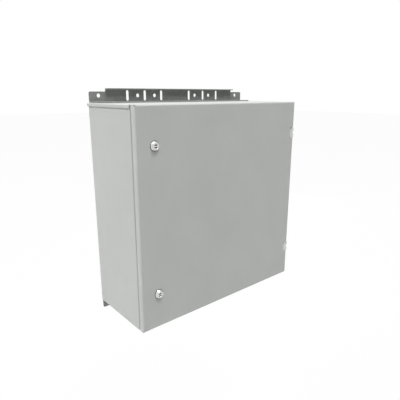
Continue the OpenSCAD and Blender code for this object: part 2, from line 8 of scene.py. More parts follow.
import bmesh
import bpy
from bpy.props import FloatProperty, FloatVectorProperty, IntProperty, PointerProperty
from bpy.types import Operator, Panel, PropertyGroup
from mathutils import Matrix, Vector

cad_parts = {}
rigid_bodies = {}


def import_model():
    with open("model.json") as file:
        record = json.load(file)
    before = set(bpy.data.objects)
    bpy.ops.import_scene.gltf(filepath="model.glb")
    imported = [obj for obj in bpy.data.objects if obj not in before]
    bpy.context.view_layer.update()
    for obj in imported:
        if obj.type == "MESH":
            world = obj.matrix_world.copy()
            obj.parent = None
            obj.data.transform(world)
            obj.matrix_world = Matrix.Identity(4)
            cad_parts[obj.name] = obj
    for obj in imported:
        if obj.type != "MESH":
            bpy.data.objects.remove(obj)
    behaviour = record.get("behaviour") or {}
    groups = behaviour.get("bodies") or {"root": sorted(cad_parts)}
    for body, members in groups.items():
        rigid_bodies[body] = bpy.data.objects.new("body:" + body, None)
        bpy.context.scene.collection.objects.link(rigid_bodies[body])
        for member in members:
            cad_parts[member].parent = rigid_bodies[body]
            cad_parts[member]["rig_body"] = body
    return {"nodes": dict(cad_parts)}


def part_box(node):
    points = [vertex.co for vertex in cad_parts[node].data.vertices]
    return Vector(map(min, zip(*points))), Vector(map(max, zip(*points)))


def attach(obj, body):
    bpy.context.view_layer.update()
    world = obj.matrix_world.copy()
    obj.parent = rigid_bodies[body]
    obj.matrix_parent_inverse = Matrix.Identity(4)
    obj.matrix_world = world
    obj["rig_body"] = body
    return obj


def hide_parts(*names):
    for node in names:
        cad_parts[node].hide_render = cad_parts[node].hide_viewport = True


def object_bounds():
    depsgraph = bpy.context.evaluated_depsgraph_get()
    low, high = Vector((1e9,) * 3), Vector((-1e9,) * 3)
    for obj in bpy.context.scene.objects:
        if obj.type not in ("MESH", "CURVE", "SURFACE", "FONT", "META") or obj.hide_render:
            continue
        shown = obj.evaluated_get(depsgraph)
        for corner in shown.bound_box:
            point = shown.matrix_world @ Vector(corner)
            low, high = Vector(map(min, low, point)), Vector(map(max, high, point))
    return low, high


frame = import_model()
cad_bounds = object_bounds()

bl_info = {
    "name": "Telecom cabinet looks",
    "version": (1, 0, 0),
    "blender": (4, 5, 0),
    "location": "3D View > Sidebar > Cabinet",
    "description": "Dresses the packed telecom cabinet with finishes, soft edges and threads",
    "category": "Object",
}

MM = 0.001
UP, DOWN = Vector((0, 0, 1)), Vector((0, 0, -1))
TO_WALL, TO_FRONT = Vector((0, 1, 0)), Vector((0, -1, 0))
TO_LEFT = Vector((-1, 0, 0))
MATH, VECTOR_MATH = "ShaderNodeMath", "ShaderNodeVectorMath"
ACROSS = (1, 1, 0)

# CAD edges: what is sharp, what is flat, and how far around a spared point they stay sharp
SHARP_ANGLE = math.radians(40)
FLAT_ANGLE = math.radians(0.4)
SPARED_REACH = 6 * MM
# Edges of finished pieces that stay sharp
HEX_CREASE = math.radians(30)
SCREW_CREASE = math.radians(40)
ROUND_CREASE = math.radians(50)
# How close points lie that are one, in a CAD mesh and in a finished piece
CAD_GAP = 1e-6
PIECE_GAP = 1e-7

# Steps around and along what is round
BEVEL_STEPS = 2
EASE_STEPS = 5
TURN_STEPS = 72
RING_STEPS = 48
DRILL_STEPS = 32
HEAD_STEPS, HEAD_RINGS = 32, 6
WELD_STEPS, WELD_RINGS = 20, 5
BEAD_STEPS, BEAD_CORNER_STEPS = 28, 12
THREAD_SIDES, THREAD_ROWS = 24, 6.0

# Sizes of the patterns in the finishes
CLOUD_SIZE = 120 * MM
BLOOM_SIZE = 45 * MM
GRAIN_SIZE = 1.5 * MM
GRIT_SIZE = 1 * MM
CELL_SIZE = 1.2 * MM

# Threads by their diameter, the hexagons that go with them, and the play of a nut on its thread
M5, M6, M8 = 5 * MM, 6 * MM, 8 * MM
FLATS = {M5: 8 * MM, M6: 10 * MM, M8: 13 * MM}
PLAY = 0.1 * MM
# A nut's round end face as a share of its flats, and the slope that takes its corners off
END_FACE = 0.95
CORNER_SLOPE = math.radians(30)
# Cross recess: its length as a share of the head, its width as a share of its length
RECESS_SHARE, RECESS_WIDTH = 0.55, 0.26
PRESSED_HEAD_D, PRESSED_HEAD_T = 10.96 * MM, 1.2 * MM
GLAND_HEAD_H = 4 * MM

# Quarter-turn lock: radii of its barrel, the root of the thread and the shaft's hole
BARREL_R, ROOT_R, SHAFT_R = 9 * MM, 8.3 * MM, 5.05 * MM
BARREL_PITCH = 1.5 * MM
LOCK_NUT_FLATS = 23 * MM
CORE_PLAY, CORE_DEPTH = 0.05 * MM, 5 * MM
SOCKET_R, SOCKET_MOUTH, SOCKET_DEPTH = 4.85 * MM, 0.2 * MM, 4.2 * MM

BEAD_W, BEAD_CORNER = 10 * MM, 12.75 * MM
RAIL_SHEET, WELD_INSET = 1.5 * MM, 5 * MM

# Camera, fitted to the photograph's edges: where it stands and which way it looks
CAMERA_AT = (-0.7840, -1.0590, 0.3234)
CAMERA_LOOKS = Vector((0.62100, 0.73968, -0.25929))
SENSOR_W = 36
# Softboxes: name, place, the point they face and width in metres, and the setting of their power
LAMPS = (
    ("Front softbox", (-0.15, -3.4, 8.0), (0, -0.15, 0.1), 3.2, "front_power"),
    ("Left softbox", (-5.8, 1.2, 6.5), (0, -0.12, 0.1), 3.4, "side_power"),
    ("Rear softbox", (3.6, 3.2, -0.4), (0, -0.12, 0), 1.2, "rear_power"),
)
WHITE = (1, 1, 1, 1)
FLOOR_TONE = (0.75, 0.75, 0.75, 1)
FLOOR_REACH = 30
FLOOR_WHITE_SHARE = 0.97


def linear(hex_colour):
    """Linear red, green and blue of an sRGB hex colour."""
    channels = [int(hex_colour[i : i + 2], 16) / 255 for i in (1, 3, 5)]
    return tuple(c / 12.92 if c <= 0.04045 else ((c + 0.055) / 1.055) ** 2.4 for c in channels)


def shade(colour, factor):
    """The colour made lighter or darker, with an alpha of 1."""
    return tuple(min(1.0, c * factor) for c in colour) + (1.0,)


def fill(node, links):
    """Fills sockets of a node, by name or in their order, with values or links. A node as a link
    means its first output."""
    for socket, value in links.items() if isinstance(links, dict) else enumerate(links):
        if isinstance(value, bpy.types.Node):
            value = value.outputs[0]
        if isinstance(value, bpy.types.NodeSocket):
            node.id_data.links.new(value, node.inputs[socket])
        else:
            node.inputs[socket].default_value = value


def add(tree, kind, links=(), operation=None, stops=(), **settings):
    """Adds one node to a tree with its operation, the stops of its colour ramp, its other
    settings and its links."""
    node = tree.nodes.new(kind)
    if operation:
        node.operation = operation
    for key, value in settings.items():
        setattr(node, key, value)
    for i, (position, colour) in enumerate(stops):
        node.color_ramp.elements[i].position = position
        node.color_ramp.elements[i].color = colour
    fill(node, links)
    return node


class CabinetFinish(PropertyGroup):
    """Colours and pattern sizes of the finishes."""

    paint: FloatVectorProperty(
        name="Powder coat", description="Colour of the body, roof and door",
        subtype="COLOR", min=0, max=1, default=linear("#B8BBB7"))
    galvanised: FloatVectorProperty(
        name="Galvanised bracket", description="Middle grey of the dull zinc on the brackets",
        subtype="COLOR", min=0, max=1, default=linear("#8E908E"))
    bright_sheet: FloatVectorProperty(
        name="Galvanised sheet", description="Middle grey of the mounting plate and the door rails",
        subtype="COLOR", min=0, max=1, default=linear("#B4B8BA"))
    zinc: FloatVectorProperty(
        name="Zinc plating", description="Colour of nuts, studs, screws and cams",
        subtype="COLOR", min=0, max=1, default=linear("#BCC1C6"))
    nickel: FloatVectorProperty(
        name="Lock nickel", description="Colour of the lock heads",
        subtype="COLOR", min=0, max=1, default=linear("#DBDAD6"))
    hinge: FloatVectorProperty(
        name="Hinge coat", description="Colour of the coated hinges",
        subtype="COLOR", min=0, max=1, default=linear("#D8DAD7"))
    foam: FloatVectorProperty(
        name="Foam", description="Colour of the seals",
        subtype="COLOR", min=0, max=1, default=linear("#2A2C2E"))
    peel_size: FloatProperty(
        name="Orange peel", description="Size of the ripples in the powder coat",
        unit="LENGTH", min=0.5 * MM, default=3 * MM)
    spangle_size: FloatProperty(
        name="Spangle", description="Size of the zinc crystals on galvanised steel",
        unit="LENGTH", min=1 * MM, default=7 * MM)


class CabinetDetail(PropertyGroup):
    """Sizes of the details that the CAD model leaves plain."""

    sheet_edge: FloatProperty(
        name="Sheet edge", description="Radius of the cut edges of coated sheet",
        unit="LENGTH", min=0, default=0.35 * MM)
    bracket_edge: FloatProperty(
        name="Bracket edge", description="Radius of the punched edges of the brackets",
        unit="LENGTH", min=0, default=0.35 * MM)
    cast_edge: FloatProperty(
        name="Cast edge", description="Radius of the edges of locks and hinges",
        unit="LENGTH", min=0, default=0.6 * MM)
    foam_edge: FloatProperty(
        name="Foam edge", description="Radius of the cut edges of the gland seal",
        unit="LENGTH", min=0, default=0.4 * MM)
    m8_pitch: FloatProperty(
        name="M8 pitch", description="Thread pitch of the M8 studs",
        unit="LENGTH", min=0.5 * MM, default=1.25 * MM)
    m6_pitch: FloatProperty(
        name="M6 pitch", description="Thread pitch of the M6 studs and screws",
        unit="LENGTH", min=0.5 * MM, default=1 * MM)
    m5_pitch: FloatProperty(
        name="M5 pitch", description="Thread pitch of the M5 studs and screws",
        unit="LENGTH", min=0.4 * MM, default=0.8 * MM)
    bead_base: FloatProperty(
        name="Bead base", description="Share of the door seal's height below its dome",
        subtype="FACTOR", min=0, max=0.9, default=0.45)
    weld_d: FloatProperty(
        name="Weld spot", description="Diameter of the spot welds on the door rails",
        unit="LENGTH", min=1 * MM, default=6 * MM)
    weld_rim: FloatProperty(
        name="Weld rim", description="Height of the rim pressed up around a spot weld",
        unit="LENGTH", min=0, default=0.25 * MM)
    weld_count: IntProperty(
        name="Weld spots", description="Spot welds along each foot of a door rail",
        min=2, default=9)


class CabinetStage(PropertyGroup):
    """Floor, lamps and camera."""

    floor_drop: FloatProperty(
        name="Floor drop", description="Distance of the floor below the cabinet",
        unit="LENGTH", min=0, default=0.8)
    ambient: FloatProperty(
        name="Ambient", description="Strength of the even light from all sides",
        min=0, default=0.18)
    front_power: FloatProperty(
        name="Front lamp", description="Power of the softbox high in front",
        unit="POWER", min=0, default=630)
    side_power: FloatProperty(
        name="Side lamp", description="Power of the softbox on the left",
        unit="POWER", min=0, default=620)
    rear_power: FloatProperty(
        name="Rear lamp", description="Power of the softbox behind on the right",
        unit="POWER", min=0, default=70)
    lens: FloatProperty(
        name="Lens", description="Focal length of the camera in mm, on a 36 mm wide sensor",
        min=10, default=35.572)


def new_material(name):
    """A new material, what adds nodes to it, its shader and the place that patterns read."""
    material = bpy.data.materials.new(name)
    material.use_nodes = True
    new = partial(add, material.node_tree)
    shader = material.node_tree.nodes["Principled BSDF"]
    return material, new, shader, new("ShaderNodeTexCoord").outputs["Object"]


def powder_coat(name, colour, peel):
    """Polyester powder coat, sprayed and baked: satin, with a soft ripple like orange peel and
    hardly any change of colour from place to place."""
    material, new, shader, place = new_material(name)
    # Film thickness drifts over a hand's width, a faint cloud of lighter and darker grey
    cloud = new("ShaderNodeTexNoise", {"Vector": place, "Scale": 1 / CLOUD_SIZE, "Detail": 3.0})
    tint = new("ShaderNodeValToRGB", {"Fac": cloud}, stops=(
        (0.3, shade(colour, 0.975)), (0.7, shade(colour, 1.025))))
    # The real ripple is 1 to 2 mm wide, and is drawn coarser so that it shows in the render
    ripple = new("ShaderNodeTexNoise", {"Vector": place, "Scale": 1 / peel, "Detail": 2.0})
    gloss = new("ShaderNodeMapRange", {"Value": ripple, "To Min": 0.45, "To Max": 0.57})
    bump = new("ShaderNodeBump", {"Height": ripple, "Strength": 0.10, "Distance": 0.1 * MM})
    fill(shader, {"Base Color": tint, "Roughness": gloss, "Normal": bump, "IOR": 1.5,
                  "Specular IOR Level": 0.25})
    return material


def galvanised_steel(name, colour, spangle, metallic, spread):
    """Hot-dip galvanised steel: zinc crystals freeze into a mosaic of dull grey patches, each
    with its own tone and sheen, under a cloudy bloom."""
    material, new, shader, place = new_material(name)
    crystal = new("ShaderNodeTexVoronoi", {"Vector": place, "Scale": 1 / spangle})
    tone = new("ShaderNodeSeparateColor", {"Color": crystal.outputs["Color"]}).outputs
    bloom = new("ShaderNodeTexNoise", {"Vector": place, "Scale": 1 / BLOOM_SIZE, "Detail": 4.0})
    both = new(MATH, (tone["Red"], bloom), "ADD")
    share = new("ShaderNodeMapRange", {"Value": both, "From Max": 2.0})
    tint = new("ShaderNodeValToRGB", {"Fac": share}, stops=(
        (0.25, shade(colour, 1 - spread)), (0.75, shade(colour, 1 + spread))))
    gloss = new("ShaderNodeMapRange", {"Value": tone["Green"], "To Min": 0.44, "To Max": 0.60})
    grain = new("ShaderNodeTexNoise", {"Vector": place, "Scale": 1 / GRAIN_SIZE, "Detail": 2.0})
    bump = new("ShaderNodeBump", {"Height": grain, "Strength": 0.12, "Distance": 0.1 * MM})
    fill(shader, {"Base Color": tint, "Roughness": gloss, "Normal": bump, "Metallic": metallic,
                  "Specular IOR Level": 0.12})
    return material


def plated_metal(name, colour, other, rough, mottle):
    """Electroplated steel or zinc casting: an even, fine satin sheen that drifts a little
    between two tints."""
    material, new, shader, place = new_material(name)
    drift = new("ShaderNodeTexNoise", {"Vector": place, "Scale": 1 / mottle, "Detail": 2.0})
    tint = new("ShaderNodeValToRGB", {"Fac": drift}, stops=(
        (0.35, shade(colour, 1)), (0.65, shade(other, 1))))
    # Polishing grit leaves scratches far below a pixel, so they are drawn 1 mm wide
    grit = new("ShaderNodeTexNoise", {"Vector": place, "Scale": 1 / GRIT_SIZE, "Detail": 3.0})
    gloss = new("ShaderNodeMapRange", {
        "Value": grit, "To Min": rough - 0.06, "To Max": rough + 0.06})
    fill(shader, {"Base Color": tint, "Roughness": gloss, "Metallic": 1.0})
    return material


def closed_cell_foam(name, colour):
    """Closed-cell polyurethane foam, poured in place: matt and nearly black, with a pebbled skin
    of fine cells."""
    material, new, shader, place = new_material(name)
    # Cells are about 0.3 mm, and are drawn at 1.2 mm so that they show
    cells = new("ShaderNodeTexVoronoi", {"Vector": place, "Scale": 1 / CELL_SIZE})
    tint = new("ShaderNodeValToRGB", {"Fac": cells}, stops=(
        (0.0, shade(colour, 1.25)), (1.0, shade(colour, 0.75))))
    bump = new("ShaderNodeBump", {
        "Height": cells, "Strength": 0.35, "Distance": 0.2 * MM}, invert=True)
    fill(shader, {"Base Color": tint, "Normal": bump, "Roughness": 0.85})
    return material


def finish_of(kind):
    """The material of one finish, made when it is first asked for."""
    finish = bpy.context.scene.cabinet_finish
    name, recipe, looks = {
        "paint": ("Powder-coated sheet steel", powder_coat, dict(
            colour=finish.paint, peel=finish.peel_size)),
        "hinge": ("Coated zinc casting", powder_coat, dict(
            colour=finish.hinge, peel=finish.peel_size)),
        "galvanised": ("Hot-dip galvanised bracket steel", galvanised_steel, dict(
            colour=finish.galvanised, spangle=finish.spangle_size, metallic=0.0, spread=0.09)),
        "bright_sheet": ("Galvanised sheet steel", galvanised_steel, dict(
            colour=finish.bright_sheet, spangle=finish.spangle_size, metallic=0.8, spread=0.12)),
        "zinc": ("Zinc-plated steel", plated_metal, dict(
            colour=finish.zinc, other=linear("#C4C2B4"), rough=0.36, mottle=6 * MM)),
        "nickel": ("Satin nickel on zinc casting", plated_metal, dict(
            colour=finish.nickel, other=linear("#D0D0CD"), rough=0.26, mottle=5 * MM)),
        # Painted shade: a dark grey put on the key socket's walls and bottom, standing in for the
        # shade that falls inside it
        "socket": ("Unpolished zinc casting", plated_metal, dict(
            colour=linear("#55554F"), other=linear("#474744"), rough=0.55, mottle=3 * MM)),
        "foam": ("Closed-cell foam", closed_cell_foam, dict(colour=finish.foam)),
    }[kind]
    return bpy.data.materials.get(name) or recipe(name, **looks)


def merged(node):
    """A CAD node's mesh with its loose triangles joined up, as a bmesh."""
    bm = bmesh.new()
    bm.from_mesh(frame["nodes"][node].data)
    bmesh.ops.remove_doubles(bm, verts=bm.verts, dist=CAD_GAP)
    return bm


def solids(node):
    """Box of each separate solid of a CAD node, as its lowest and highest corner."""
    bm = merged(node)
    reached, boxes = set(), []
    for first in bm.verts:
        if first in reached:
            continue
        reached.add(first)
        island = [first]
        for vert in island:
            others = [edge.other_vert(vert) for edge in vert.link_edges]
            island += [other for other in others if other not in reached]
            reached.update(others)
        places = list(zip(*(vert.co for vert in island)))
        boxes.append((Vector(map(min, places)), Vector(map(max, places))))
    bm.free()
    return boxes


def inward(middle):
    """Direction into the cabinet from its roof or its floor."""
    return DOWN if middle.z > 0 else UP


def seats(node, way):
    """Seat and direction of each solid of a CAD node: the middle of the end that the direction
    points away from. The direction is one for all, or a function of a solid's middle."""
    found = []
    for low, high in solids(node):
        middle = (low + high) / 2
        axis = way(middle) if callable(way) else way
        reach = abs((high - low).dot(axis)) / 2
        found.append((middle - axis * reach, axis))
    return found


def length_along(node, axis):
    """Length of the first solid of a CAD node along an axis."""
    low, high = solids(node)[0]
    return abs((high - low).dot(axis))


def plain_mesh(obj, name):
    """Turns what the modifiers of an object give into its own mesh, and removes them."""
    graph = bpy.context.evaluated_depsgraph_get()
    mesh = bpy.data.meshes.new_from_object(obj.evaluated_get(graph))
    obj.modifiers.clear()
    old, obj.data = obj.data, mesh
    bpy.data.meshes.remove(old)
    mesh.name = name


def put(name, mesh, material):
    """Links a new object with that mesh and material to the scene."""
    obj = bpy.data.objects.new(name, mesh)
    bpy.context.scene.collection.objects.link(obj)
    if material:
        mesh.materials.clear()
        mesh.materials.append(material)
    return obj


def hand_over(obj, node):
    """Says that a piece stands for a CAD node, on that node's body."""
    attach(obj, frame["nodes"][node]["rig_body"])
    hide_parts(node)


def softened(node, name, kind, radius, spared=()):
    """A copy of a CAD node whose sharp edges are rounded over and whose folds are shaded
    smoothly. Near the spared points edges stay sharp, so that the long faces which end there
    aren't shaded as if they leaned."""
    bm = merged(node)
    bmesh.ops.dissolve_limit(bm, angle_limit=FLAT_ANGLE, verts=bm.verts, edges=bm.edges)
    weight = bm.edges.layers.float.new("bevel_weight_edge")
    for face in bm.faces:
        face.smooth = True
    for edge in bm.edges:
        ways = [vert.co - point for vert in edge.verts for point in spared]
        near = any(way.length < SPARED_REACH for way in ways)
        sharp = edge.calc_face_angle(0) > SHARP_ANGLE
        if near and (sharp or edge.calc_length() < 2 * SPARED_REACH):
            edge.smooth = False
        elif sharp:
            edge[weight] = 1.0
    mesh = bpy.data.meshes.new(name)
    bm.to_mesh(mesh)
    bm.free()
    obj = put(name, mesh, finish_of(kind))
    edge = obj.modifiers.new("Edge radius", "BEVEL")
    edge.width = radius
    edge.segments = BEVEL_STEPS
    edge.limit_method = "WEIGHT"
    edge.use_clamp_overlap = False
    edge.miter_outer = "MITER_ARC"
    plain_mesh(obj, name)
    # Where rounded edges end at a seam the seam loses its mark, so what is sharp is marked again
    bm = bmesh.new()
    bm.from_mesh(obj.data)
    for edge in bm.edges:
        if edge.calc_face_angle(0) > SHARP_ANGLE:
            edge.smooth = False
    bm.to_mesh(obj.data)
    bm.free()
    flat = obj.modifiers.new("Flat faces", "WEIGHTED_NORMAL")
    flat.mode = "FACE_AREA"
    flat.weight = 100
    flat.keep_sharp = True
    plain_mesh(obj, name)
    hand_over(obj, node)
    return obj


def eased(corners):
    """Outline of a turned piece: corners as radius, y and rounding, each rounded over."""
    outline = []
    for i, (r, y, ease) in enumerate(corners):
        here = Vector((r, y))
        if not ease:
            outline.append(here)
            continue
        back = (Vector(corners[i - 1][:2]) - here).normalized()
        ahead = (Vector(corners[(i + 1) % len(corners)][:2]) - here).normalized()
        half = back.angle(ahead) / 2
        middle = here + (back + ahead).normalized() * (ease / math.sin(half))
        start, end = (here + way * (ease / math.tan(half)) - middle for way in (back, ahead))
        for step in range(EASE_STEPS + 1):
            outline.append(middle + start.slerp(end, step / EASE_STEPS) * ease)
    return outline


def turned(name, axis, corners, kind):
    """A ring of that outline, turned about the line along y through axis."""
    bm = bmesh.new()
    turns = [2 * math.pi * i / TURN_STEPS for i in range(TURN_STEPS)]
    rings = []
    for r, y in eased(corners):
        rings.append([bm.verts.new((axis.x + r * math.cos(t), y, axis.z + r * math.sin(t)))
                      for t in turns])
    for ring, after in zip(rings, rings[1:] + rings[:1]):
        for i in range(TURN_STEPS):
            j = (i + 1) % TURN_STEPS
            bm.faces.new((ring[i], ring[j], after[j], after[i]))
    bmesh.ops.recalc_face_normals(bm, faces=bm.faces)
    return put(name, creased(name, bm, HEX_CREASE), finish_of(kind))


def creased(name, bm, crease):
    """The mesh of a bmesh, smooth but for edges sharper than the crease."""
    mesh = bpy.data.meshes.new(name)
    bm.to_mesh(mesh)
    bm.free()
    mesh.shade_smooth()
    mesh.set_sharp_from_angle(angle=crease)
    return mesh


def new_tree(*sizes):
    """What adds nodes to a new Geometry Nodes tree, and the tree's inputs, named for sizes."""
    tree = bpy.data.node_groups.new("Shapes on seats", "GeometryNodeTree")
    inputs = {"Geometry": "Geometry", **dict.fromkeys(sizes, "Float"), "Material": "Material"}
    for label, kind in inputs.items():
        tree.interface.new_socket(label, in_out="INPUT", socket_type="NodeSocket" + kind)
    tree.interface.new_socket("Geometry", in_out="OUTPUT", socket_type="NodeSocketGeometry")
    return partial(add, tree), add(tree, "NodeGroupInput").outputs


def end_tree(new, given, shape, height=None):
    """Ends a tree: puts a shape that grows along z on every seat, turned along the seat's axis.
    A shape with a height has its middle at 0, and is first set on its end."""
    if height:
        half = new(MATH, (height, 0.5), "MULTIPLY")
        lift = new("ShaderNodeCombineXYZ", {"Z": half})
        shape = new("GeometryNodeTransform", {"Geometry": shape, "Translation": lift})
    axis = new("GeometryNodeInputNamedAttribute", {"Name": "axis"}, data_type="FLOAT_VECTOR")
    turn = new("FunctionNodeAlignRotationToVector", {"Vector": axis}, axis="Z")
    placed = new("GeometryNodeInstanceOnPoints", {
        "Points": given["Geometry"], "Instance": shape, "Rotation": turn})
    real = new("GeometryNodeRealizeInstances", {"Geometry": placed})
    painted = new("GeometryNodeSetMaterial", {"Geometry": real, "Material": given["Material"]})
    return new("NodeGroupOutput", {"Geometry": painted}).id_data


def around_axis(new, radius):
    """Where points of a round piece are: across z, that as a share of the radius, and along z."""
    place = new("GeometryNodeInputPosition")
    level = new("ShaderNodeSeparateXYZ", {"Vector": place}).outputs["Z"]
    flat = new(VECTOR_MATH, (place, ACROSS), "MULTIPLY")
    out = new(VECTOR_MATH, (flat,), "LENGTH").outputs["Value"]
    return flat, new(MATH, (out, radius), "DIVIDE"), level


def hex_tree():
    """Hexagons with chamfered corners: nuts, spacers and, where the bore is 0, screw heads."""
    new, given = new_tree("Flats", "Height", "Bore")
    flats, height = given["Flats"], given["Height"]
    corner = new(MATH, (flats, 0.5 / math.cos(math.pi / 6)), "MULTIPLY")
    solid = new("GeometryNodeMeshCylinder", {"Vertices": 6, "Radius": corner, "Depth": height})
    # A cone at each end takes the corners off, which leaves the arcs that nuts have
    face = new(MATH, (flats, END_FACE / 2), "MULTIPLY")
    wide = new(MATH, (height, 1 / math.tan(CORNER_SLOPE), face), "MULTIPLY_ADD")
    cone = new("GeometryNodeMeshCone", {
        "Vertices": RING_STEPS, "Radius Top": face, "Radius Bottom": wide, "Depth": height})
    # A cone grows from its base, the other solids from their middle
    for side, turn in ((-0.5, 0), (0.5, math.pi)):
        end = new(MATH, (height, side), "MULTIPLY")
        shift = new("ShaderNodeCombineXYZ", {"Z": end})
        cutter = new("GeometryNodeTransform", {
            "Geometry": cone, "Translation": shift, "Rotation": (turn, 0, 0)})
        cut = new("GeometryNodeMeshBoolean", {"Mesh 2": solid}, "INTERSECT", solver="EXACT")
        fill(cut, {"Mesh 2": cutter})
        solid = cut
    inside = new(MATH, (given["Bore"], 0.5), "MULTIPLY")
    through = new(MATH, (height, 3.0), "MULTIPLY")
    drill = new("GeometryNodeMeshCylinder", {
        "Vertices": DRILL_STEPS, "Radius": inside, "Depth": through})
    bored = new("GeometryNodeMeshBoolean", {"Mesh 1": solid, "Mesh 2": drill},
                "DIFFERENCE", solver="EXACT")
    chosen = new("GeometryNodeSwitch", {
        "Switch": given["Bore"], "False": solid, "True": bored}, input_type="GEOMETRY")
    return end_tree(new, given, chosen, height)


def thread_tree():
    """Rods with a rolled thread: the wall of a cylinder follows a triangular wave that climbs as
    it turns."""
    new, given = new_tree("Radius", "Length", "Pitch")
    length, pitch = given["Length"], given["Pitch"]
    turns = new(MATH, (length, pitch), "DIVIDE")
    rows = new(MATH, (turns, THREAD_ROWS), "MULTIPLY")
    rod = new("GeometryNodeMeshCylinder", {
        "Vertices": THREAD_SIDES, "Side Segments": rows, "Radius": given["Radius"],
        "Depth": length}, fill_type="TRIANGLE_FAN")
    place = new("GeometryNodeInputPosition")
    part = new("ShaderNodeSeparateXYZ", {"Vector": place}).outputs
    angle = new(MATH, (part["Y"], part["X"]), "ARCTAN2")
    turn = new(MATH, (angle, 2 * math.pi), "DIVIDE")
    climb = new(MATH, (part["Z"], pitch), "DIVIDE")
    phase = new(MATH, (climb, turn), "SUBTRACT")
    wave = new(MATH, (phase, 0.5), "PINGPONG")
    depth = new(MATH, (wave, pitch), "MULTIPLY")
    # The last pitch at each end tapers, as the lead of a thread does
    middle = new(MATH, (part["Z"],), "ABSOLUTE")
    half = new(MATH, (length, 0.5), "MULTIPLY")
    from_end = new(MATH, (half, middle), "SUBTRACT")
    lead = new("ShaderNodeMapRange", {
        "Value": from_end, "From Max": pitch, "To Min": pitch, "To Max": 0.0})
    cut = new(MATH, (depth, lead), "MAXIMUM")
    deeper = new(MATH, (cut, -1.0), "MULTIPLY")
    flat = new(VECTOR_MATH, (place, ACROSS), "MULTIPLY")
    out = new(VECTOR_MATH, (flat,), "NORMALIZE")
    move = new(VECTOR_MATH, {0: out, "Scale": deeper}, "SCALE")
    screw = new("GeometryNodeSetPosition", {"Geometry": rod, "Offset": move})
    return end_tree(new, given, screw, length)


def ring_tree():
    """Rings of a rounded section: washers, the flanges of nuts and the heads of pressed studs."""
    new, given = new_tree("Outside", "Bore", "Height", "Edge")
    both = new(MATH, (given["Outside"], given["Bore"]), "ADD")
    middle = new(MATH, (both, 0.25), "MULTIPLY")
    walls = new(MATH, (given["Outside"], given["Bore"]), "SUBTRACT")
    width = new(MATH, (walls, 0.5), "MULTIPLY")
    path = new("GeometryNodeCurvePrimitiveCircle", {"Resolution": RING_STEPS, "Radius": middle})
    section = new("GeometryNodeCurvePrimitiveQuadrilateral", {
        "Width": width, "Height": given["Height"]})
    rolled = new("GeometryNodeFilletCurve", {
        "Curve": section, "Radius": given["Edge"], "Count": 3, "Limit Radius": True}, mode="POLY")
    ring = new("GeometryNodeCurveToMesh", {"Curve": path, "Profile Curve": rolled})
    return end_tree(new, given, ring, given["Height"])


def recess_tree():
    """Screw heads with a cross recess: domed on top, or drawn in below to sink into a plate."""
    new, given = new_tree("Rim", "Under", "Height", "Dome", "Recess")
    height, recess = given["Height"], given["Recess"]
    radius = new(MATH, (given["Rim"], 0.5), "MULTIPLY")
    disc = new("GeometryNodeMeshCylinder", {
        "Vertices": HEAD_STEPS, "Fill Segments": HEAD_RINGS, "Radius": radius, "Depth": height})
    flat, share, level = around_axis(new, radius)
    # The top stays flat in the middle and rolls over towards its rim
    roll = new(MATH, (share, 4.0), "POWER")
    fall = new(MATH, (roll, given["Dome"]), "MULTIPLY")
    above = new(MATH, (level, 0.0), "GREATER_THAN")
    drop = new(MATH, (fall, above), "MULTIPLY")
    top = new(MATH, (level, drop), "SUBTRACT")
    upright = new("ShaderNodeCombineXYZ", {"Z": top})
    sunk = new(MATH, (given["Under"], given["Rim"]), "DIVIDE")
    below = new(MATH, (level, 0.0), "LESS_THAN")
    taper = new("ShaderNodeMapRange", {"Value": below, "To Min": 1.0, "To Max": sunk})
    drawn = new(VECTOR_MATH, {0: flat, "Scale": taper}, "SCALE")
    there = new(VECTOR_MATH, (drawn, upright))
    solid = new("GeometryNodeSetPosition", {"Geometry": disc, "Position": there})
    # Two bars cut the cross, down to a little below the middle of the head
    thin = new(MATH, (recess, RECESS_WIDTH), "MULTIPLY")
    tall = new(MATH, (height, 1.2), "MULTIPLY")
    raised = new(MATH, (height, 0.55), "MULTIPLY")
    lift = new("ShaderNodeCombineXYZ", {"Z": raised})
    for length, width in ((recess, thin), (thin, recess)):
        size = new("ShaderNodeCombineXYZ", {"X": length, "Y": width, "Z": tall})
        bar = new("GeometryNodeMeshCube", {"Size": size})
        cutter = new("GeometryNodeTransform", {"Geometry": bar, "Translation": lift})
        solid = new("GeometryNodeMeshBoolean", {"Mesh 1": solid, "Mesh 2": cutter},
                    "DIFFERENCE", solver="EXACT")
    return end_tree(new, given, solid, height)


